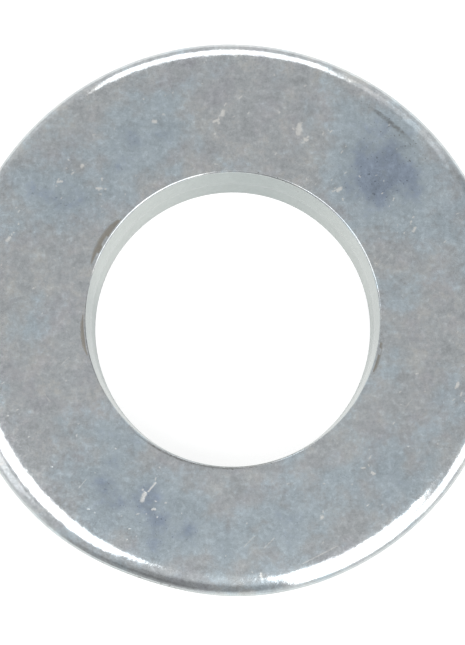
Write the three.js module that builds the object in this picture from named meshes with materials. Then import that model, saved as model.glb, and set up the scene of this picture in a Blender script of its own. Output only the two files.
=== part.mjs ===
// Flat washer for an M10 bolt, in zinc plated steel. Millimetres, +Z up.
//
// The washer is one piece, pierced and then blanked out of steel strip. It lies on its underside at z = 0,
// and the origin is where the axis of the hole meets the underside.
//
// The blanking cut bends the strip before it shears it, which rounds the upper outside edge. Below that the
// wall is burnished upright down to half of the thickness, and then leans in where the steel broke. The hole
// has the same three zones the same way up, all smaller: its upper edge is lightly rounded, and its broken
// zone opens out a little towards the underside, where its edge is crisp.

import * as THREE from 'three';

// Driving dimensions
const HOLE_DIAMETER = 10.5;
const OUTSIDE_DIAMETER = 20;
const THICKNESS = 2;

// Share of the thickness that broke instead of shearing, at the lower end of each wall
const BREAK_SHARE = 0.5;

// Outside edge
const RIM_ROLL_WIDTH = 1;
const RIM_ROLL_DEPTH = 0.4;
const RIM_LEAN = 0.1;
const RIM_EDGE_RADIUS = 0.08;

// Edge of the hole
const HOLE_ROLL_WIDTH = 0.08;
const HOLE_ROLL_DEPTH = 0.08;
const HOLE_LEAN = 0.05;
const HOLE_EDGE_RADIUS = 0.04;

// Steps in a quarter turn of each rounded edge, and around the whole washer
const ROLL_STEPS = 6;
const EDGE_STEPS = 2;
const ROUND_STEPS = 96;

const QUARTER_TURN = Math.PI / 2;

// The points of a quarter of an ellipse about (r, z), counter-clockwise from startAngle
function quarterRound(r, z, width, height, startAngle, steps) {
  const arc = new THREE.EllipseCurve(r, z, width, height, startAngle, startAngle + QUARTER_TURN);
  return arc.getPoints(steps);
}

// The washer's section to one side of the axis, counter-clockwise and closed, as radius and height
function washerSection() {
  const rimTopRadius = OUTSIDE_DIAMETER / 2;
  const rimFootRadius = rimTopRadius - RIM_LEAN;
  const holeTopRadius = HOLE_DIAMETER / 2;
  const holeFootRadius = holeTopRadius + HOLE_LEAN;
  const breakTop = THICKNESS * BREAK_SHARE;

  const rimFootEdge = quarterRound(
    rimFootRadius - RIM_EDGE_RADIUS, RIM_EDGE_RADIUS,
    RIM_EDGE_RADIUS, RIM_EDGE_RADIUS, -QUARTER_TURN, EDGE_STEPS,
  );
  const rimRoll = quarterRound(
    rimTopRadius - RIM_ROLL_WIDTH, THICKNESS - RIM_ROLL_DEPTH,
    RIM_ROLL_WIDTH, RIM_ROLL_DEPTH, 0, ROLL_STEPS,
  );
  const holeRoll = quarterRound(
    holeTopRadius + HOLE_ROLL_WIDTH, THICKNESS - HOLE_ROLL_DEPTH,
    HOLE_ROLL_WIDTH, HOLE_ROLL_DEPTH, QUARTER_TURN, ROLL_STEPS,
  );
  const holeFootEdge = quarterRound(
    holeFootRadius + HOLE_EDGE_RADIUS, HOLE_EDGE_RADIUS,
    HOLE_EDGE_RADIUS, HOLE_EDGE_RADIUS, 2 * QUARTER_TURN, EDGE_STEPS,
  );

  return [
    ...rimFootEdge,
    new THREE.Vector2(rimTopRadius, breakTop),
    ...rimRoll,
    ...holeRoll,
    new THREE.Vector2(holeTopRadius, breakTop),
    ...holeFootEdge,
    rimFootEdge[0],
  ];
}

// A lathe turns its section about Y, so the finished ring is stood up on Z
function washerGeometry() {
  const ring = new THREE.LatheGeometry(washerSection(), ROUND_STEPS);
  ring.rotateX(QUARTER_TURN);
  return ring;
}

const zincPlatedSteel = new THREE.MeshStandardMaterial({
  color: new THREE.Color(0.56, 0.6, 0.64),
  roughness: 0.38,
  metalness: 1,
});

const washer = new THREE.Mesh(washerGeometry(), zincPlatedSteel);
washer.name = 'washer';

const flatWasher = new THREE.Group();
flatWasher.add(washer);

export default flatWasher;
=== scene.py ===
"""A zinc plated flat washer, lying on a lit white table in a small studio.

The washer is built as one mesh with the marks of how it was made and handled: the rounded edge that the
blanking cut leaves, the bright and torn bands on its walls, and the nicks and scratches of loose storage.
"""

import math
from collections import namedtuple

import bmesh
import bpy
import numpy as np
from bpy.props import FloatProperty, FloatVectorProperty, IntProperty, PointerProperty
from mathutils import Matrix, Vector, kdtree, noise


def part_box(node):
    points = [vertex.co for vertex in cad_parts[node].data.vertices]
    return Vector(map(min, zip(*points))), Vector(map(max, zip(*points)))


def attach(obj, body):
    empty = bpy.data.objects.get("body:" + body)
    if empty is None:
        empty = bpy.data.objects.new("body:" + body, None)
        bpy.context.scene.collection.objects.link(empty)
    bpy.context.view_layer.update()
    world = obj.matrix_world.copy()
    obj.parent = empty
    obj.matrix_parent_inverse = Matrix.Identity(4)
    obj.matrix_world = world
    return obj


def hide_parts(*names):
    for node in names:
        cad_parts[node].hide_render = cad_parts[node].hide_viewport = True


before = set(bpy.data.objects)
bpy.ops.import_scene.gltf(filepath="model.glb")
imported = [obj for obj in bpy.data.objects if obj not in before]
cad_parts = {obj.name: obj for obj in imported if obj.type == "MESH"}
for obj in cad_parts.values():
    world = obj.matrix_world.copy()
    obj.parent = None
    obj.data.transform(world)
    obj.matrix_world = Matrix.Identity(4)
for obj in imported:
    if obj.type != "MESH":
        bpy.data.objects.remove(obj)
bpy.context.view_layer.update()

bl_info = {
    "name": "Flat Washer",
    "version": (1, 0, 0),
    "blender": (4, 5, 0),
    "location": "3D View > Sidebar > Washer",
    "description": "Makes a zinc plated flat washer and a small studio for it",
    "category": "Add Mesh",
}

MM = 0.001
QUARTER_TURN = math.pi / 2

# The frame's washer, from which the sizes here take their defaults
CAD_NODE = "washer"
CAD_LOW, CAD_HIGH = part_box(CAD_NODE)
CAD_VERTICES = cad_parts[CAD_NODE].data.vertices
OUTSIDE_DIAMETER = CAD_HIGH.x - CAD_LOW.x
THICKNESS = CAD_HIGH.z - CAD_LOW.z
HOLE_DIAMETER = 2 * min(vertex.co.xy.length for vertex in CAD_VERTICES)


# ---------------------------------------------------------------------------------------------------------
# Settings
# ---------------------------------------------------------------------------------------------------------


def length(name, description, default):
    """A length property, in metres."""
    return FloatProperty(name=name, description=description, default=default, unit="LENGTH", precision=5)


def share(name, description, default):
    """A property from 0 to 1."""
    return FloatProperty(name=name, description=description, default=default, min=0, max=1, subtype="FACTOR")


def colour(name, description, default):
    """A colour property, in linear light."""
    return FloatVectorProperty(name=name, description=description, default=default, size=3, subtype="COLOR")


def angle(name, description, degrees):
    """An angle property, given here in degrees."""
    return FloatProperty(name=name, description=description, default=math.radians(degrees), unit="ROTATION")


class WasherShape(bpy.types.PropertyGroup):
    """Sizes of the washer and of the edges that its cuts leave."""

    outside: length("Outside diameter", "Diameter of the rim", OUTSIDE_DIAMETER)
    hole: length("Hole diameter", "Diameter of the hole's bright band", HOLE_DIAMETER)
    thickness: length("Thickness", "Thickness of the strip", THICKNESS)
    hole_shift: length("Hole shift", "How far along X the hole is off centre", 0.1 * MM)
    rim_roll_width: length("Rim roll width", "Width of the rounded upper edge", 1.0 * MM)
    rim_roll_depth: length("Rim roll depth", "Depth of the rounded upper edge", 0.4 * MM)
    rim_lean: length("Rim lean", "How far the torn band of the rim leans in", 0.1 * MM)
    rim_edge: length("Rim lower edge", "Radius of the rim's lower edge", 0.08 * MM)
    hole_roll_width: length("Hole roll width", "Width of the hole's rounded upper edge", 0.08 * MM)
    hole_roll_depth: length("Hole roll depth", "Depth of the hole's rounded upper edge", 0.08 * MM)
    hole_lean: length("Hole lean", "How far the torn band of the hole opens out", 0.05 * MM)
    hole_edge: length("Hole lower edge", "Radius of the hole's lower edge", 0.04 * MM)
    roll_change: share("Roll change", "How much the rim's rounded edge varies around it", 0.05)
    lip_change: length("Lip change", "How much the hole's rounded edge varies around it", 0.02 * MM)
    torn_grain: length("Torn grain", "Roughness of the torn bands", 0.012 * MM)
    flat_depth: length("Flat depth", "Depth of the slight flat on the rim", 0.13 * MM)
    flat_turn: angle("Flat direction", "Where around the rim the flat is", 252)
    flat_span: angle("Flat span", "Half of the angle that the flat fades over", 16)
    torn: share("Torn share", "Share of the thickness that tore instead of shearing", 0.5)
    face_step: length("Face step", "Distance between the rings of the upper face", 0.1 * MM)
    around: IntProperty(name="Steps around", description="Vertices in each ring", default=448, min=24)
    nicks: IntProperty(name="Nicks", description="Number of scattered nicks", default=150, min=0)
    seed: IntProperty(name="Seed", description="Chooses where the scattered marks fall", default=11)


class WasherFinish(bpy.types.PropertyGroup):
    """Colours and surface of the zinc plating."""

    zinc: colour("Zinc", "Plain zinc under its clear passivation", (0.60, 0.635, 0.655))
    sky: colour("Pale blue film", "Where the passivation is a little thicker", (0.545, 0.645, 0.71))
    blue: colour("Deep blue film", "Where the passivation is thickest", (0.37, 0.44, 0.54))
    straw: colour("Straw film", "Where the passivation is thinnest", (0.65, 0.64, 0.60))
    violet: colour("Violet film", "Faint cast between the blue and the straw", (0.53, 0.535, 0.58))
    wall: colour("Wall", "Burnished walls of the hole and the rim", (0.505, 0.54, 0.52))
    # Painted shade: the darker colour that the walls take where the painted wall shade lies
    wall_shade_colour: colour("Filmed wall", "Wall where the passivation is thickest", (0.38, 0.42, 0.41))
    bare: colour("Bare metal", "Metal in fresh nicks and scratches", (0.98, 0.97, 0.93))
    stain: colour("Stain", "Dried chemicals beside the hole", (0.265, 0.235, 0.185))
    # Dirt and painted shade: this colour darkens pitting on the face, and paints shade along the hole's
    # front lip and the rim's outer edge
    dirt_and_shade: colour("Grime", "Dirt caught beside the edges", (0.20, 0.20, 0.19))
    gloss: share("Roughness", "Roughness of the clean face", 0.09)
    grain: length("Grain height", "Height of the finest surface grain", 0.0012 * MM)


class StudioSetup(bpy.types.PropertyGroup):
    """The table, the lights and the camera."""

    table_colour: colour("Table", "Colour of the table top", (0.5, 0.5, 0.5))
    table_glow: share("Table glow", "Light that comes through the table top", 0.72)
    ceiling: FloatProperty(name="Ceiling", description="Brightness overhead", default=0.6, min=0)
    walls: FloatProperty(name="Walls", description="Brightness around the table", default=0.8, min=0)
    front: share("Front", "How much lighter the front of the room is", 0.2)
    camera_height: length("Camera height", "Height of the lens above the washer's face", 24 * MM)
    camera_back: length("Camera offset", "How far the lens is to the front of the hole's axis", 5.02 * MM)
    camera_side: length("Camera side offset", "How far the lens is to the right", 0.09 * MM)
    camera_lens: FloatProperty(name="Focal length", description="In millimetres", default=37.5, min=1)
    camera_tilt: angle("Camera tilt", "Turn from straight down towards the far side", -0.35)
    camera_rise: FloatProperty(name="Lens shift", description="Upward, as a share of the view", default=0.22)


# ---------------------------------------------------------------------------------------------------------
# Washer mesh
# ---------------------------------------------------------------------------------------------------------

# One ring of vertices of the washer, with how much of it is wall and how much of that wall is torn
Ring = namedtuple("Ring", "radius height wall torn")

# One nick or scratch: its middle, the direction that it runs in, half its length and width, its depth, and
# how bare its metal is
Mark = namedtuple("Mark", "centre along half_length half_width depth bare")

# Steps in each rounded edge of the section, and along each band of its walls
RIM_FOOT_STEPS = 4
RIM_TORN_STEPS = 9
RIM_BRIGHT_STEPS = 5
RIM_ROLL_STEPS = 24
HOLE_ROLL_STEPS = 10
HOLE_BRIGHT_STEPS = 6
HOLE_TORN_STEPS = 9
HOLE_FOOT_STEPS = 3


def rounded_edge(centre, width, height, start, steps, wall_first):
    """The rings of a quarter of an ellipse, counter-clockwise in section, between a wall and a face."""
    rings = []
    for step in range(steps + 1):
        turn = start + QUARTER_TURN * step / steps
        wall = max(0, 1 - 2 * (step if wall_first else steps - step) / steps)
        rings.append(Ring(centre[0] + width * math.cos(turn), centre[1] + height * math.sin(turn), wall, 0))
    return rings


def straight_band(start, end, steps, wall, torn):
    """The rings strictly between two ends of a straight stretch of the section."""
    rings = []
    for step in range(1, steps):
        share_done = step / steps
        radius = start.radius + (end.radius - start.radius) * share_done
        height = start.height + (end.height - start.height) * share_done
        rings.append(Ring(radius, height, wall, torn))
    return rings


def washer_section(shape):
    """The rings of the washer's section, counter-clockwise from the underside's outer edge."""
    rim = shape.outside / 2
    hole = shape.hole / 2
    rim_foot = rim - shape.rim_lean
    hole_foot = hole + shape.hole_lean
    top = shape.thickness
    torn_top = top * shape.torn

    rim_foot_edge = rounded_edge(
        (rim_foot - shape.rim_edge, shape.rim_edge),
        shape.rim_edge, shape.rim_edge, -QUARTER_TURN, RIM_FOOT_STEPS, wall_first=False,
    )
    rim_roll = rounded_edge(
        (rim - shape.rim_roll_width, top - shape.rim_roll_depth),
        shape.rim_roll_width, shape.rim_roll_depth, 0, RIM_ROLL_STEPS, wall_first=True,
    )
    hole_roll = rounded_edge(
        (hole + shape.hole_roll_width, top - shape.hole_roll_depth),
        shape.hole_roll_width, shape.hole_roll_depth, QUARTER_TURN, HOLE_ROLL_STEPS, wall_first=False,
    )
    hole_foot_edge = rounded_edge(
        (hole_foot + shape.hole_edge, shape.hole_edge),
        shape.hole_edge, shape.hole_edge, 2 * QUARTER_TURN, HOLE_FOOT_STEPS, wall_first=True,
    )
    rim_turn = Ring(rim, torn_top, wall=1, torn=0.5)
    hole_turn = Ring(hole, torn_top, wall=1, torn=0.5)
    face_steps = round((rim_roll[-1].radius - hole_roll[0].radius) / shape.face_step)
    underside_steps = face_steps // 2

    return [
        *rim_foot_edge,
        *straight_band(rim_foot_edge[-1], rim_turn, RIM_TORN_STEPS, wall=1, torn=1),
        rim_turn,
        *straight_band(rim_turn, rim_roll[0], RIM_BRIGHT_STEPS, wall=1, torn=0),
        *rim_roll,
        *straight_band(rim_roll[-1], hole_roll[0], face_steps, wall=0, torn=0),
        *hole_roll,
        *straight_band(hole_roll[-1], hole_turn, HOLE_BRIGHT_STEPS, wall=1, torn=0),
        hole_turn,
        *straight_band(hole_turn, hole_foot_edge[0], HOLE_TORN_STEPS, wall=1, torn=1),
        *hole_foot_edge,
        *straight_band(hole_foot_edge[-1], rim_foot_edge[0], underside_steps, wall=0, torn=0),
    ]


def bell(value, middle, spread):
    """A smooth bump that is 1 at the middle and fades out over the spread."""
    return math.exp(-(((value - middle) / spread) ** 2))


def round_wave(random, slowest, fastest):
    """A smooth random wave around the washer, between about -1 and 1, as a function of the angle."""
    rates = np.arange(slowest, fastest + 1)
    weights = random.normal(size=len(rates)) / np.sqrt(rates)
    weights /= np.abs(weights).sum() / 2
    phases = random.uniform(0, 2 * math.pi, len(rates))
    return lambda turn: float((weights * np.sin(rates * turn + phases)).sum())


def torn_noise(turn, height):
    """The grain of torn steel at an angle and a height on a wall, between about -1 and 1."""
    grains_per_radian = 60
    grains_per_metre = 2.5 / MM
    x = math.cos(turn) * grains_per_radian
    y = math.sin(turn) * grains_per_radian
    return noise.noise(Vector((x, y, height * grains_per_metre)))


# How far out from the hole's wall its lip is uneven, in widths of its rounded edge
LIP_REACH = 3


def place_ring(ring, shape, turns, roll_wave, lip_wave):
    """The points of one ring, with the unevenness of a real cut."""
    rim = shape.outside / 2
    hole = shape.hole / 2
    from_rim = rim - ring.radius
    from_hole = ring.radius - hole
    upper = ring.height > shape.thickness / 2
    outward = 1 if from_hole < from_rim else -1

    # How much of each unevenness this ring takes
    face_share = max(0, min(1, from_hole / (rim - hole - shape.rim_roll_width)))
    roll_change = shape.roll_change * min(from_rim, shape.rim_roll_width) * face_share if upper else 0
    lip_place = from_hole / shape.hole_roll_width
    lip_share = max(0, min(lip_place, (LIP_REACH - lip_place) / (LIP_REACH - 1)))
    lip_change = shape.lip_change * lip_share if upper else 0
    flat_depth = shape.flat_depth * max(0, 1 - from_rim / shape.rim_roll_width)
    shift = shape.hole_shift * min(1, max(0, from_rim / (rim - hole)))

    points = []
    for turn in turns:
        flat_turns = math.remainder(turn - shape.flat_turn, 2 * math.pi) / shape.flat_span
        radius = ring.radius - roll_change * roll_wave(turn) + lip_change * lip_wave(turn)
        radius -= flat_depth * bell(flat_turns, 0, 1)
        radius += outward * ring.torn * shape.torn_grain * (1 + torn_noise(turn, ring.height))
        points.append(Vector((radius * math.cos(turn) + shift, radius * math.sin(turn), ring.height)))
    return points


def ring_mesh(shape, random):
    """The washer's whole skin as a bmesh, with its wall and torn weights on its vertices."""
    mesh = bmesh.new()
    wall_layer = mesh.verts.layers.float.new("wall")
    torn_layer = mesh.verts.layers.float.new("torn")
    turns = np.linspace(0, 2 * math.pi, shape.around, endpoint=False)
    roll_wave = round_wave(random, slowest=3, fastest=60)
    lip_wave = round_wave(random, slowest=5, fastest=90)
    rings = []
    for ring in washer_section(shape):
        vertices = []
        for point in place_ring(ring, shape, turns, roll_wave, lip_wave):
            vertex = mesh.verts.new(point)
            vertex[wall_layer] = ring.wall
            vertex[torn_layer] = ring.torn
            vertices.append(vertex)
        rings.append(vertices)
    for lower, upper in zip(rings, rings[1:] + rings[:1]):
        for step in range(shape.around):
            after = (step + 1) % shape.around
            mesh.faces.new((lower[step], lower[after], upper[after], upper[step]))
    return mesh


def polar(degrees, radius):
    """A place across the washer, from an angle in degrees and a radius."""
    return Vector((radius * math.cos(math.radians(degrees)), radius * math.sin(math.radians(degrees)), 0))


def top_mark(shape, degrees, radius_mm, length_mm, width_mm, heading, depth_mm, bare):
    """A mark on the upper face, placed by angle and radius, that runs at a heading in degrees from X."""
    centre = polar(degrees, radius_mm * MM)
    centre.z = shape.thickness
    return Mark(centre, polar(heading, 1), length_mm * MM / 2, width_mm * MM / 2, depth_mm * MM, bare)


def main_marks(shape, random):
    """The nicks and long scratches that are easy to see from above, with crumbs around the nicks."""
    # Angle and radius of the middle, length, width and heading
    nicks = [
        (92, 7.35, 0.38, 0.22, 75),
        (94, 7.10, 0.34, 0.14, 30),
        (111, 7.55, 0.32, 0.22, 160),
        (70, 7.20, 0.60, 0.32, 85),
        (67, 6.95, 0.28, 0.20, 0),
        (134, 7.60, 0.26, 0.20, 70),
        (141, 7.80, 0.30, 0.14, 5),
        (135, 6.60, 0.30, 0.13, 175),
        (50, 6.05, 0.36, 0.22, 35),
        (26, 7.30, 0.28, 0.16, 60),
        (160, 8.40, 0.34, 0.20, 40),
        (244, 7.05, 0.54, 0.24, 70),
        (245, 6.60, 0.50, 0.10, 50),
        (248, 7.30, 0.20, 0.14, 20),
        (295, 7.80, 0.28, 0.24, 45),
        (313, 7.50, 0.26, 0.16, 150),
        (344, 8.45, 0.30, 0.20, 65),
        (277, 9.20, 0.28, 0.16, 95),
    ]
    scratches = [
        (291, 9.00, 1.50, 0.09, 27),
        (280, 8.10, 0.60, 0.08, 45),
        (275, 7.95, 0.60, 0.08, 45),
        (194, 6.05, 0.45, 0.07, 45),
        (203, 7.10, 0.40, 0.07, 125),
        (335, 7.05, 0.40, 0.07, 50),
        (228, 7.90, 0.50, 0.07, 50),
    ]
    marks = [top_mark(shape, *scratch, depth_mm=0.001, bare=0.5) for scratch in scratches]
    for nick in nicks:
        marks.append(top_mark(shape, *nick, depth_mm=0.003, bare=1))
        marks.extend(nick_crumbs(shape, random, nick))
    return marks


def nick_crumbs(shape, random, nick):
    """One to four specks of bare metal around a nick, each at most twice as long as it is wide."""
    degrees, radius_mm, _, _, heading = nick
    most_crumbs = 4
    narrowest_mm = 0.06
    widest_mm = 0.13
    radius_spread_mm = 0.3
    angle_spread = 2.5
    heading_spread = 40
    marks = []
    for _ in range(random.integers(1, most_crumbs + 1)):
        crumb_width = random.uniform(narrowest_mm, widest_mm)
        crumb = (
            degrees + random.normal(0, angle_spread),
            radius_mm + random.normal(0, radius_spread_mm),
            crumb_width * random.uniform(1, 2),
            crumb_width,
            heading + random.normal(0, heading_spread),
        )
        marks.append(top_mark(shape, *crumb, depth_mm=0.002, bare=0.8))
    return marks


def scattered_marks(shape, random):
    """Small nicks all over both faces, most of them short, and running mostly one way."""
    hole_margin = 0.2 * MM
    rim_margin = 0.5 * MM
    upper_share = 0.65
    half_widths_mm = (0.025, 0.045)
    depths_mm = (0.001, 0.003)
    longest = 2.4
    usual_heading = 50
    heading_spread = 35
    inner = shape.hole / 2 + hole_margin
    outer = shape.outside / 2 - rim_margin
    marks = []
    for _ in range(shape.nicks):
        radius = math.sqrt(random.uniform(inner**2, outer**2))
        centre = polar(random.uniform(0, 360), radius)
        centre.z = shape.thickness if random.random() < upper_share else 0
        half_width = random.uniform(*half_widths_mm) * MM
        half_length = half_width * random.uniform(1, longest)
        heading = random.normal(usual_heading, heading_spread)
        depth = random.uniform(*depths_mm) * MM
        marks.append(Mark(centre, polar(heading, 1), half_length, half_width, depth, bare=0.7))
    return marks


def mark_reach(mark, point):
    """How far a point is from a mark's middle line, as a share of the mark's half width."""
    offset = point - mark.centre
    run = offset.dot(mark.along)
    straight = max(mark.half_length - mark.half_width, 0)
    beyond = run - max(-straight, min(straight, run))
    across = (offset - mark.along * run).length
    return math.hypot(beyond, across) / mark.half_width


def has_straight_corner(face):
    """Whether one of a face's corners lies on a straight side, which leaves a sliver when it is cut up."""
    nearly_straight = math.radians(178)
    return any(loop.calc_angle() > nearly_straight for loop in face.loops)


def split_near_marks(mesh, marks, finest_share):
    """Halves the mesh's faces around each mark until they are fine enough to carry its shape."""
    most_halvings = 3
    # How far from a mark faces are halved, and are looked for, in its half widths
    margin = 1.3
    search_margin = 2
    for _ in range(most_halvings):
        mesh.faces.index_update()
        mesh.faces.ensure_lookup_table()
        tree = kdtree.KDTree(len(mesh.faces))
        for face in mesh.faces:
            tree.insert(face.calc_center_median(), face.index)
        tree.balance()
        edges = set()
        for mark in marks:
            search = mark.half_length + search_margin * mark.half_width
            for centre, index, _ in tree.find_range(mark.centre, search):
                face = mesh.faces[index]
                side = math.sqrt(face.calc_area())
                near = mark_reach(mark, centre) * mark.half_width < margin * mark.half_width + side
                if near and side > finest_share * mark.half_width:
                    edges.update(face.edges)
        bmesh.ops.subdivide_edges(mesh, edges=list(edges), cuts=1, use_grid_fill=True)
    uneven = [face for face in mesh.faces if len(face.verts) > 4 or has_straight_corner(face)]
    bmesh.ops.triangulate(mesh, faces=uneven, quad_method="BEAUTY", ngon_method="BEAUTY")


def press_marks(mesh, marks):
    """Sinks each mark into the face that it is on, and notes its place on the vertices."""
    nick_layer = mesh.verts.layers.float.new("nick")
    # How ragged a mark's outline is, in waves per half width and as a share of its reach
    ragged_waves = 1.2
    ragged_share = 0.6
    # How far beyond a mark's ends its vertices are looked for, in its half widths
    search_margin = 1.5
    mesh.verts.index_update()
    mesh.verts.ensure_lookup_table()
    tree = kdtree.KDTree(len(mesh.verts))
    for vertex in mesh.verts:
        tree.insert(vertex.co, vertex.index)
    tree.balance()
    for mark in marks:
        inward = -1 if mark.centre.z > 0 else 1
        search = mark.half_length + search_margin * mark.half_width
        for _, index, _ in tree.find_range(mark.centre, search):
            vertex = mesh.verts[index]
            ragged = noise.noise(vertex.co * ragged_waves / mark.half_width)
            reach = mark_reach(mark, vertex.co) * (1 + ragged_share * ragged)
            if reach < 1:
                hollow = (1 - reach**2) ** 2
                vertex.co.z += inward * mark.depth * hollow
                vertex[nick_layer] = max(vertex[nick_layer], hollow * mark.bare)


def paint_stains_dirt_and_shade(mesh, shape):
    """Notes on the vertices where chemicals dried beside the hole, and where dirt and painted shade darken
    the face and the edges.
    """
    stain_layer = mesh.verts.layers.float.new("stain")
    dirt_and_shade_layer = mesh.verts.layers.float.new("dirt_and_shade")
    # Angle of the middle and half the angle that it spans, in degrees, and width in millimetres
    crescents = [(149, 11, 0.28), (186, 8, 0.16), (346, 9, 0.13)]
    # The smears at 268 and 252 degrees are painted shade along the hole's front lip and the rim's outer edge
    # Angle and spread in degrees, radius and width in millimetres, and strength
    dirt_and_shade_smears = [
        (52, 11, 9.05, 0.09, 0.8),
        (48, 11, 8.85, 0.35, 0.55),
        (47, 10, 8.5, 0.12, 0.4),
        (95, 30, 9.1, 0.07, 0.4),
        (72, 24, 5.32, 0.05, 0.7),
        (268, 62, 5.29, 0.06, 1.3),
        (252, 20, 9.84, 0.10, 0.9),
    ]
    # How far out a stain has faded away, in its own depths
    stain_fades = 1.5
    edge = shape.hole / 2 + shape.hole_roll_width
    for vertex in mesh.verts:
        if vertex.co.z < shape.thickness - shape.rim_roll_depth:
            continue
        across = vertex.co - Vector((shape.hole_shift, 0, 0))
        turn = math.degrees(math.atan2(across.y, across.x)) % 360
        outside = across.xy.length - edge
        for middle, half_span, width_mm in crescents:
            along = math.remainder(turn - middle, 360) / half_span
            if abs(along) < 1 and outside > 0:
                depth = width_mm * MM * math.sqrt(1 - along**2)
                stain = max(0, min(1, stain_fades - outside / depth))
                vertex[stain_layer] = max(vertex[stain_layer], stain)
        dirt_and_shade = 0
        for middle, spread, radius_mm, width_mm, strength in dirt_and_shade_smears:
            along = math.remainder(turn - middle, 360)
            dirt_and_shade += strength * bell(along, 0, spread) * bell(vertex.co.xy.length / MM, radius_mm, width_mm)
        vertex[dirt_and_shade_layer] = dirt_and_shade


def paint_film_and_wall_shade(mesh):
    """Notes on the vertices where the passivation film is thickest, where rubbing has brightened it, and
    where painted shade darkens the walls.
    """
    film_and_wall_shade_layer = mesh.verts.layers.float.new("film")
    worn_layer = mesh.verts.layers.float.new("worn")
    wall_layer = mesh.verts.layers.float["wall"]
    # Angle in degrees, radius and spread in millimetres, and strength
    patches = [
        (43, 7.6, 1.9, 1.35),
        (56, 8.2, 1.0, 0.6),
        (24, 8.7, 1.5, 0.6),
        (143, 7.3, 1.6, 0.9),
        (118, 6.9, 1.4, 0.9),
        (105, 8.6, 1.5, 0.4),
        (257, 7.6, 1.5, 0.95),
        (238, 7.4, 1.7, 1.05),
        (285, 8.3, 2.0, 0.55),
        (312, 7.5, 2.0, 0.5),
        (340, 6.5, 1.5, 0.25),
    ]
    # Angle and spread in degrees, and radius and spread in millimetres
    rubbed = [(292, 50, 6.0, 1.1), (190, 20, 5.9, 0.7)]
    # Angle and spread in degrees, and strength, of the painted shade on the walls
    wall_shade_patches = [(80, 35, 1.0), (0, 12, 0.5), (182, 16, 1.3), (265, 60, 1.5)]
    for vertex in mesh.verts:
        turn = math.degrees(math.atan2(vertex.co.y, vertex.co.x))
        # On the walls the film weight holds only painted shade
        if vertex[wall_layer] == 1:
            for middle, spread, strength in wall_shade_patches:
                vertex[film_and_wall_shade_layer] += strength * bell(math.remainder(turn - middle, 360), 0, spread)
            continue
        for middle, spread, radius_mm, spread_mm in rubbed:
            around = bell(math.remainder(turn - middle, 360), 0, spread)
            vertex[worn_layer] += around * bell(vertex.co.xy.length / MM, radius_mm, spread_mm)
        film = 0
        for degrees, radius_mm, spread_mm, strength in patches:
            away = (vertex.co.xy - polar(degrees, radius_mm * MM).xy).length / (spread_mm * MM)
            film += strength * bell(away, 0, 1)
        vertex[film_and_wall_shade_layer] = film


# ---------------------------------------------------------------------------------------------------------
# Shader tools
# ---------------------------------------------------------------------------------------------------------


class Field:
    """A value that varies over a surface, as a node's output that takes part in arithmetic."""

    def __init__(self, shader, socket):
        self.shader = shader
        self.socket = socket

    def math(self, operation, first, second):
        inputs = {0: first, 1: second}
        return self.shader.node("ShaderNodeMath", {"operation": operation}, inputs)

    def __add__(self, other):
        return self.math("ADD", self, other)

    __radd__ = __add__

    def __sub__(self, other):
        return self.math("SUBTRACT", self, other)

    def __rsub__(self, other):
        return self.math("SUBTRACT", other, self)

    def __mul__(self, other):
        return self.math("MULTIPLY", self, other)

    __rmul__ = __mul__


class Shader:
    """A node tree that is filled in by calls."""

    def __init__(self, owner):
        owner.use_nodes = True
        self.tree = owner.node_tree
        self.tree.nodes.clear()

    def node(self, kind, settings=None, inputs=None, output=0):
        """Adds a node, sets it up, fills in its inputs and returns one of its outputs."""
        node = self.tree.nodes.new(kind)
        for name, value in (settings or {}).items():
            setattr(node, name, value)
        for name, value in (inputs or {}).items():
            if isinstance(value, Field):
                self.tree.links.new(value.socket, node.inputs[name])
            else:
                node.inputs[name].default_value = value
        return Field(self, node.outputs[output]) if node.outputs else None

    def mix(self, amount, first, second, blend="MIX"):
        """Mixes two colours by an amount."""
        # A Mix node's sockets for numbers, vectors and colours share their names, so these go by number
        settings = {"data_type": "RGBA", "blend_type": blend, "clamp_factor": True}
        inputs = {0: amount, 6: rgba(first), 7: rgba(second)}
        return self.node("ShaderNodeMix", settings, inputs, output=2)

    def step(self, value, low, high):
        """Rises smoothly from 0 to 1 as a value goes from low to high."""
        settings = {"interpolation_type": "SMOOTHSTEP"}
        inputs = {"Value": value, "From Min": low, "From Max": high}
        return self.node("ShaderNodeMapRange", settings, inputs)

    def noise(self, place, scale, detail, roughness=0.5, distortion=0):
        """Cloudy noise from 0 to 1, with scale in waves per unit of place."""
        inputs = {
            "Vector": place,
            "Scale": scale,
            "Detail": detail,
            "Roughness": roughness,
            "Distortion": distortion,
        }
        return self.node("ShaderNodeTexNoise", {}, inputs)

    def grey(self, value):
        """The grey colour of a value."""
        return self.node("ShaderNodeCombineColor", {}, {0: value, 1: value, 2: value})

    def painted(self, name):
        """A weight that the mesh holds on its vertices."""
        settings = {"attribute_type": "GEOMETRY", "attribute_name": name}
        return self.node("ShaderNodeAttribute", settings, output="Fac")

    def stretch(self, place, factors):
        """A place with each of its axes scaled."""
        settings = {"operation": "MULTIPLY"}
        return self.node("ShaderNodeVectorMath", settings, {0: place, 1: factors})


def rgba(value):
    """A colour as the four numbers that a node's input takes, or a field as it is."""
    return value if isinstance(value, Field) else (*value, 1)


# ---------------------------------------------------------------------------------------------------------
# Finishes
# ---------------------------------------------------------------------------------------------------------


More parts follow.
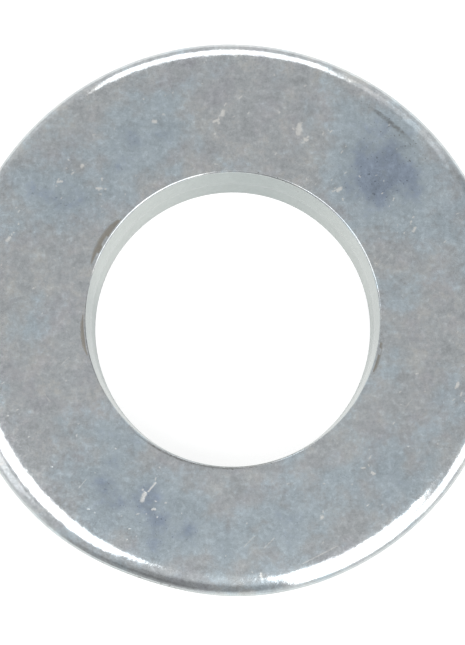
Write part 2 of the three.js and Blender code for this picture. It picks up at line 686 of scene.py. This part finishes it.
# The noise behind each kind of unevenness in the plating, with its waves per millimetre
Unevenness = namedtuple("Unevenness", "waves detail roughness distortion")
PLATING_NOISES = {
    "clouds": Unevenness(0.35, 5, 0.65, 0.4),
    "drift": Unevenness(0.8, 3, 0.6, 0),
    "haze": Unevenness(0.9, 4, 0.7, 0),
    "mottle": Unevenness(1.4, 4, 0.8, 0),
    "ripple": Unevenness(3.5, 3, 0.5, 0),
    "grain": Unevenness(5, 3, 0.9, 0),
    "flecks": Unevenness(5, 1, 0.6, 0),
    "frost": Unevenness(9, 1, 0.5, 0),
    "pits": Unevenness(10, 1, 0.5, 0.5),
}

# The noise levels at which the kinds that are spots begin, and are full
SPOTS = {"flecks": (0.58, 0.7), "frost": (0.6, 0.7), "pits": (0.64, 0.74)}

# The weights that the mesh holds on its vertices
PAINTED = ("wall", "torn", "nick", "film", "worn", "stain", "dirt_and_shade")

# How strongly each kind of unevenness thickens the film, counted from its middle level
FILM_WEIGHTS = {"clouds": 1.6, "drift": 2.1, "mottle": 1.4, "grain": 0.5}
NOISE_MIDDLE = 0.5

# How strongly each kind brightens the colour, over a base, and how much of this the walls smooth out
SHADE_BASE = 0.08
SHADE_WEIGHTS = {
    "clouds": 0.2,
    "mottle": 0.8,
    "grain": 0.76,
    "flecks": 0.06,
    "frost": 0.1,
    "worn": 0.07,
    "pits": -0.16,
    "blue_pits": -0.35,
}
WALL_SMOOTHING = 0.75

# How strongly the dirt and painted shade, and the bare metal, are broken up, over a base
DIRT_AND_SHADE_BASE = -0.7
DIRT_AND_SHADE_WEIGHTS = {"mottle": 1.2, "pits": 0.8, "grain": 1.6}
BARE_BASE = 0.1
BARE_WEIGHTS = {"grain": 1.8}

# What makes the surface rougher
ROUGHNESS_WEIGHTS = {"wall": 0.1, "torn": 0.12, "mottle": 0.05, "stain_cover": 0.25, "bare_cover": 0.15}

# Heights of the face's ripple and of the walls' upright streaks, in millimetres, and the streaks' noise
RIPPLE_HEIGHT = 0.0045
STREAK_HEIGHT = 0.003
STREAK_WAVES = 12
STREAK_STRETCH = (1, 1, 0.08)

# A layer of colour: its name in the finish, the weights of what makes it, the sums at which it starts and is
# full, and its greatest share of the colour
Layer = namedtuple("Layer", "colour weights starts full share")
FILM_LAYERS = (
    Layer("straw", {"clouds": 0.5, "mottle": 0.9}, 0.65, 0.85, 0.65),
    Layer("violet", {"haze": 1, "mottle": 0.6}, 0.72, 1.02, 0.55),
    Layer("sky", {"film_here": 1}, 0, 0.7, 0.8),
    Layer("blue", {"film_here": 1}, 0.7, 1.5, 1),
)
MARK_LAYERS = (
    Layer("stain", {"stain": 1, "mottle": 0.7, "grain": 0.5}, 1.1, 1.5, 0.75),
    # Dirt and painted shade: dark lines along the hole's front lip and the rim's outer edge, and pitting on
    # the face
    Layer("dirt_and_shade", {"broken_dirt_and_shade": 1}, 0.35, 0.95, 0.7),
    Layer("bare", {"broken_nick": 1}, 0.05, 0.9, 0.7),
)


def weighted(fields, weights):
    """The sum of the named fields, each times its weight."""
    return sum(fields[name] * weight for name, weight in weights.items())


def plating_fields(shader, place):
    """The plating's noises and the mesh's painted weights, by name."""
    fields = {name: shader.painted(name) for name in PAINTED}
    for name, kind in PLATING_NOISES.items():
        fields[name] = shader.noise(place, kind.waves, kind.detail, kind.roughness, kind.distortion)
    for name, (starts, full) in SPOTS.items():
        fields[name] = shader.step(fields[name], starts, full)
    middle = NOISE_MIDDLE * sum(FILM_WEIGHTS.values())
    fields["film_here"] = fields["film"] + weighted(fields, FILM_WEIGHTS) - middle
    fields["broken_dirt_and_shade"] = fields["dirt_and_shade"] * (weighted(fields, DIRT_AND_SHADE_WEIGHTS) + DIRT_AND_SHADE_BASE)
    fields["broken_nick"] = fields["nick"] * (weighted(fields, BARE_WEIGHTS) + BARE_BASE)
    return fields


def lay_colours(shader, finish, fields, layers, tint):
    """The tint under some layers of colour, whose covers are added to the fields."""
    for layer in layers:
        cover = shader.step(weighted(fields, layer.weights), layer.starts, layer.full)
        fields[layer.colour + "_cover"] = cover
        tint = shader.mix(cover * layer.share, tint, getattr(finish, layer.colour))
    return tint


def plating_relief(shader, place, finish, fields):
    """The normal of the plating's fine grain and ripple, and of the streaks on the walls."""
    streaks = shader.noise(shader.stretch(place, STREAK_STRETCH), STREAK_WAVES, detail=3)
    grain = fields["grain"] * (finish.grain / MM)
    height = grain + fields["ripple"] * RIPPLE_HEIGHT + fields["wall"] * streaks * STREAK_HEIGHT
    return shader.node("ShaderNodeBump", {}, {"Strength": 1, "Distance": MM, "Height": height})


def zinc_plating(finish):
    """Clear blue passivated zinc: clouded film colours, fine grain, bare nicks, dried stains, dirt, and
    painted shade on the walls and edges.
    """
    material = bpy.data.materials.new("zinc_plating")
    shader = Shader(material)
    metres = shader.node("ShaderNodeTexCoord", output="Object")
    place = shader.stretch(metres, (1 / MM, 1 / MM, 1 / MM))
    fields = plating_fields(shader, place)

    tint = lay_colours(shader, finish, fields, FILM_LAYERS, finish.zinc)
    # Painted shade: the walls darken where the film weight holds painted shade
    wall_tint = shader.mix(fields["film"], finish.wall, finish.wall_shade_colour)
    tint = shader.mix(fields["wall"], tint, wall_tint)

    fields["blue_pits"] = fields["pits"] * fields["blue_cover"]
    shade = weighted(fields, SHADE_WEIGHTS) + SHADE_BASE
    shade = 1 + (shade - 1) * (1 - fields["wall"] * WALL_SMOOTHING)
    tint = shader.mix(1.0, tint, shader.grey(shade), "MULTIPLY")
    tint = lay_colours(shader, finish, fields, MARK_LAYERS, tint)

    surface = shader.node(
        "ShaderNodeBsdfPrincipled",
        {},
        {
            "Base Color": tint,
            "Metallic": 1,
            "Roughness": weighted(fields, ROUGHNESS_WEIGHTS) + finish.gloss,
            "Normal": plating_relief(shader, place, finish, fields),
        },
    )
    shader.node("ShaderNodeOutputMaterial", {}, {"Surface": surface})
    return material


def lit_table(studio):
    """A matt sheet that looks white, because light comes through it."""
    material = bpy.data.materials.new("lit_table")
    shader = Shader(material)
    inputs = {
        "Base Color": rgba(studio.table_colour),
        "Roughness": 0.9,
        "Emission Color": (1, 1, 1, 1),
        "Emission Strength": studio.table_glow,
    }
    surface = shader.node("ShaderNodeBsdfPrincipled", {}, inputs)
    shader.node("ShaderNodeOutputMaterial", {}, {"Surface": surface})
    return material


# ---------------------------------------------------------------------------------------------------------
# Studio
# ---------------------------------------------------------------------------------------------------------

# In metres, with the softboxes' distance counted from the washer
TABLE_HALF_WIDTH = 1.0
SOFTBOX_DISTANCE = 0.3
FARTHEST_VIEW = 10

# Heights of the walls' top and the ceiling's edge, as sines of their angles above the table
WALL_TOP = 0.2
CEILING_EDGE = 0.55

# Where the front of the room starts to be lighter, and is lightest, as shares of the way to the front
FRONT_STARTS = -0.02
FRONT_FULL = 0.3

# A softbox seen from the washer: the direction of its middle and its spin about that direction, in degrees,
# its half sizes as shares of its distance, and its brightness
Softbox = namedtuple("Softbox", "name azimuth from_zenith spin half_width half_height brightness")
SOFTBOXES = (
    Softbox("softbox_back", 93, 62, 0, 0.34, 0.13, 1.6),
    Softbox("reflector_back", 62, 60, 0, 0.25, 0.12, 0.25),
    Softbox("softbox_right", -55, 46, -6, 0.26, 0.37, 1.8),
    Softbox("softbox_flank", -24, 57, 16, 0.27, 0.2, 1.6),
    Softbox("softbox_left", 200, 30, 13, 0.33, 0.165, 2.0),
    Softbox("reflector_left", 197, 57, 0, 0.2, 0.2, 0.6),
    Softbox("reflector_front", 268, 31, 0, 0.28, 0.2, 0.1),
)

# A part of the room that is in shade: its direction from the washer in degrees, the cosines of the angles
# from there at which the shade fades out and is full, and the share of the light that it loses
DimPatch = namedtuple("DimPatch", "azimuth from_zenith fades full loss")
DIM_PATCHES = (
    DimPatch(261, 54, 0.92, 0.99, 0.45),
    DimPatch(20, 72, 0.88, 0.98, 0.5),
    DimPatch(242, 74, 0.92, 0.985, 0.45),
)


def direction_to(azimuth, from_zenith):
    """A unit vector from the washer, from two angles in degrees."""
    turn = math.radians(azimuth)
    tilt = math.radians(from_zenith)
    return Vector((math.sin(tilt) * math.cos(turn), math.sin(tilt) * math.sin(turn), math.cos(tilt)))


def add_object(name, data):
    """Puts new data into the scene as an object."""
    item = bpy.data.objects.new(name, data)
    bpy.context.scene.collection.objects.link(item)
    return item


def make_table(studio):
    """A large square sheet, level with the washer's underside."""
    half = TABLE_HALF_WIDTH
    level = CAD_LOW.z
    corners = [(-half, -half, level), (half, -half, level), (half, half, level), (-half, half, level)]
    data = bpy.data.meshes.new("table")
    data.from_pydata(corners, [], [(0, 1, 2, 3)])
    data.materials.append(lit_table(studio))
    table = add_object("table", data)


def make_surroundings(studio):
    """An even grey ceiling over lighter walls, lighter to the front, with some dimmer patches."""
    world = bpy.data.worlds.new("room")
    shader = Shader(world)
    direction = shader.node("ShaderNodeTexCoord", output="Generated")
    depth = shader.node("ShaderNodeSeparateXYZ", {}, {"Vector": direction}, output="Y")
    height = shader.node("ShaderNodeSeparateXYZ", {}, {"Vector": direction}, output="Z")
    overhead = shader.step(height, WALL_TOP, CEILING_EDGE)
    room = studio.walls - overhead * (studio.walls - studio.ceiling)
    light = room * (1 + shader.step(-1 * depth, FRONT_STARTS, FRONT_FULL) * studio.front)
    for patch in DIM_PATCHES:
        towards = shader.node(
            "ShaderNodeVectorMath",
            {"operation": "DOT_PRODUCT"},
            {0: direction, 1: direction_to(patch.azimuth, patch.from_zenith)},
            output="Value",
        )
        light = light * (1 - shader.step(towards, patch.fades, patch.full) * patch.loss)
    background = shader.node("ShaderNodeBackground", {}, {"Color": (1, 1, 1, 1), "Strength": light})
    shader.node("ShaderNodeOutputWorld", {}, {"Surface": background})
    bpy.context.scene.world = world


def make_softbox(box):
    """Places a softbox so that it faces the washer."""
    data = bpy.data.lights.new(box.name, "AREA")
    data.shape = "RECTANGLE"
    data.size = 2 * box.half_width * SOFTBOX_DISTANCE
    data.size_y = 2 * box.half_height * SOFTBOX_DISTANCE
    # An area light is as bright as its power over its area and pi
    data.energy = box.brightness * math.pi * data.size * data.size_y
    light = add_object(box.name, data)
    away = direction_to(box.azimuth, box.from_zenith)
    level = Vector((0, 0, 1)).cross(away).normalized()
    facing = Matrix((level, away.cross(level), away)).transposed()
    spin = Matrix.Rotation(math.radians(box.spin), 4, "Z")
    light.matrix_world = Matrix.Translation(away * SOFTBOX_DISTANCE) @ facing.to_4x4() @ spin


def make_camera(studio):
    """A view camera over the front of the hole, nearly square to the washer's face."""
    data = bpy.data.cameras.new("camera")
    data.lens = studio.camera_lens
    data.shift_y = studio.camera_rise
    data.clip_start = MM
    data.clip_end = FARTHEST_VIEW
    camera = add_object("camera", data)
    camera.location = (studio.camera_side, -studio.camera_back, CAD_HIGH.z + studio.camera_height)
    camera.rotation_euler = (studio.camera_tilt, 0, 0)
    bpy.context.scene.camera = camera


# ---------------------------------------------------------------------------------------------------------
# Operators and panel
# ---------------------------------------------------------------------------------------------------------


class MakeWasher(bpy.types.Operator):
    """Make the washer in place of its plain frame piece"""

    bl_idname = "washer.make_washer"
    bl_label = "Washer"

    def execute(self, context):
        shape = context.scene.washer_shape
        random = np.random.default_rng(shape.seed)
        mesh = ring_mesh(shape, random)
        marks = main_marks(shape, random) + scattered_marks(shape, random)
        split_near_marks(mesh, marks, finest_share=0.55)
        press_marks(mesh, marks)
        paint_stains_dirt_and_shade(mesh, shape)
        paint_film_and_wall_shade(mesh)
        bmesh.ops.recalc_face_normals(mesh, faces=mesh.faces)
        data = bpy.data.meshes.new("washer_plated")
        mesh.to_mesh(data)
        mesh.free()
        data.shade_smooth()
        data.materials.append(zinc_plating(context.scene.washer_finish))
        piece = add_object("washer_plated", data)
        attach(piece, "root")
        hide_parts(CAD_NODE)
        return {"FINISHED"}


class MakeStudio(bpy.types.Operator):
    """Make the table, the room, the softboxes and the camera"""

    bl_idname = "washer.make_studio"
    bl_label = "Studio"

    def execute(self, context):
        studio = context.scene.washer_studio
        make_table(studio)
        make_surroundings(studio)
        for box in SOFTBOXES:
            make_softbox(box)
        make_camera(studio)
        context.scene.view_settings.view_transform = "Standard"
        return {"FINISHED"}


class WasherPanel(bpy.types.Panel):
    """The washer's operators and settings"""

    bl_idname = "VIEW3D_PT_washer"
    bl_label = "Flat Washer"
    bl_space_type = "VIEW_3D"
    bl_region_type = "UI"
    bl_category = "Washer"

    def draw(self, context):
        for settings, operator in (
            (context.scene.washer_shape, MakeWasher),
            (context.scene.washer_finish, None),
            (context.scene.washer_studio, MakeStudio),
        ):
            column = self.layout.column()
            for name in settings.__annotations__:
                column.prop(settings, name)
            if operator:
                column.operator(operator.bl_idname)


CLASSES = (WasherShape, WasherFinish, StudioSetup, MakeWasher, MakeStudio, WasherPanel)


def register():
    for item in CLASSES:
        bpy.utils.register_class(item)
    bpy.types.Scene.washer_shape = PointerProperty(type=WasherShape)
    bpy.types.Scene.washer_finish = PointerProperty(type=WasherFinish)
    bpy.types.Scene.washer_studio = PointerProperty(type=StudioSetup)


def unregister():
    del bpy.types.Scene.washer_studio
    del bpy.types.Scene.washer_finish
    del bpy.types.Scene.washer_shape
    for item in reversed(CLASSES):
        bpy.utils.unregister_class(item)


def main():
    register()
    bpy.ops.washer.make_washer()
    bpy.ops.washer.make_studio()


if __name__ == "__main__":
    main()
